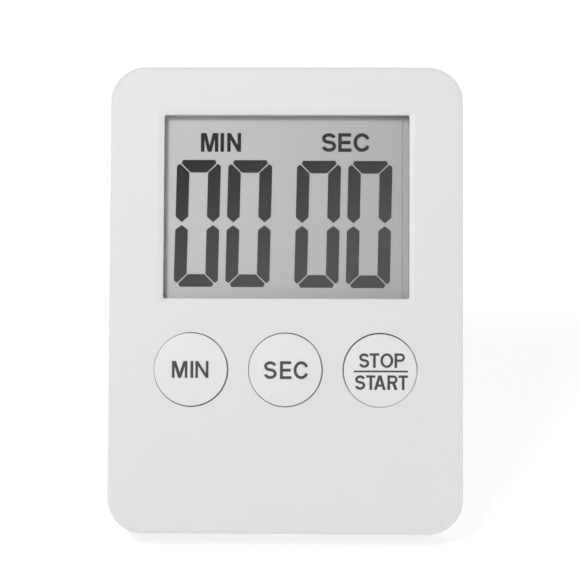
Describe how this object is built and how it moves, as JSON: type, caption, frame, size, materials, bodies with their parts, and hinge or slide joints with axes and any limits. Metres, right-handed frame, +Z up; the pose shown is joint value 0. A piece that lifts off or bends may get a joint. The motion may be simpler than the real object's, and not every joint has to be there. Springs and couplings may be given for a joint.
{
  "type": "kitchen timer",
  "caption": "Thin digital kitchen timer with a large display window, three round push buttons, a magnetic back, a fold-out stand and a coin-slot battery cover.",
  "frame": {"origin": "middle of the ground area under the timer as it stands on its open stand; Z = 0 is the surface it stands on", "axes": "+Z up, +X to the right as the user sees the face, -Y towards the user; the face leans back 24.6 degrees"},
  "size_m": [0.065, 0.0444, 0.0818],
  "materials": {
    "case_plastic": "satin",
    "lens_plastic": "clear",
    "display_film": "satin",
    "display_glass": "clear",
    "reflector_film": "matte",
    "connector_rubber": "matte",
    "foam": "matte",
    "button_plastic": "satin",
    "switch_plastic": "matte",
    "switch_metal": "plated",
    "board": "satin",
    "screw_steel": "plated",
    "chip_epoxy": "gloss",
    "component_metal": "plated",
    "capacitor_ceramic": "matte",
    "resistor_ceramic": "matte",
    "component_plastic": "matte",
    "ferrite": "matte",
    "buzzer_brass": "satin",
    "buzzer_ceramic": "satin",
    "wire_red": "satin",
    "wire_black": "satin",
    "cell_steel": "satin",
    "contact_steel": "plated",
    "cover_plastic": "satin",
    "stand_plastic": "satin",
    "magnet": "plated"
  },
  "bodies": {
    "case": {"front_case": "case_plastic", "rear_case": "case_plastic", "display_lens": "lens_plastic", "lcd_front_polarizer": "display_film", "lcd_front_glass": "display_glass", "lcd_rear_glass": "display_glass", "lcd_rear_polarizer": "reflector_film", "elastomer_connector": "connector_rubber", "display_foam": "foam", "switch_bases": "switch_plastic", "switch_covers": "switch_metal", "main_board": "board", "board_screws": "screw_steel", "case_screws": "screw_steel", "timer_chip": "chip_epoxy", "quartz_crystal": "component_metal", "capacitors": "capacitor_ceramic", "resistors": "resistor_ceramic", "buzzer_transistor": "component_plastic", "buzzer_coil": "ferrite", "buzzer_disc": "buzzer_brass", "buzzer_ceramic": "buzzer_ceramic", "buzzer_wire_red": "wire_red", "buzzer_wire_black": "wire_black", "button_cell": "cell_steel", "negative_contact": "contact_steel", "positive_contact": "contact_steel", "left_magnet": "magnet", "right_magnet": "magnet"},
    "minute_button_body": {"minute_button": "button_plastic", "minute_plunger": "switch_plastic"},
    "second_button_body": {"second_button": "button_plastic", "second_plunger": "switch_plastic"},
    "start_stop_button_body": {"start_stop_button": "button_plastic", "start_stop_plunger": "switch_plastic"},
    "stand_body": {"stand": "stand_plastic"},
    "battery_cover_body": {"battery_cover": "cover_plastic"}
  },
  "joints": [
    {"name": "minute_press", "type": "slide", "parent": "case", "child": "minute_button_body", "axis": [0, 0.9091, -0.4165], "range_m": [0, 0.00025], "stiffness_N_per_m": 3000},
    {"name": "second_press", "type": "slide", "parent": "case", "child": "second_button_body", "axis": [0, 0.9091, -0.4165], "range_m": [0, 0.00025], "stiffness_N_per_m": 3000},
    {"name": "start_stop_press", "type": "slide", "parent": "case", "child": "start_stop_button_body", "axis": [0, 0.9091, -0.4165], "range_m": [0, 0.00025], "stiffness_N_per_m": 3000},
    {"name": "stand_hinge", "type": "hinge", "parent": "case", "child": "stand_body", "pos_m": [0, 0.00363, 0.0403], "axis": [1, 0, 0], "range_deg": [-38, 0]},
    {"name": "battery_cover_turn", "type": "hinge", "parent": "case", "child": "battery_cover_body", "pos_m": [0, -0.00648, 0.01463], "axis": [0, 0.9091, -0.4165], "range_deg": [0, 50]}
  ]
}
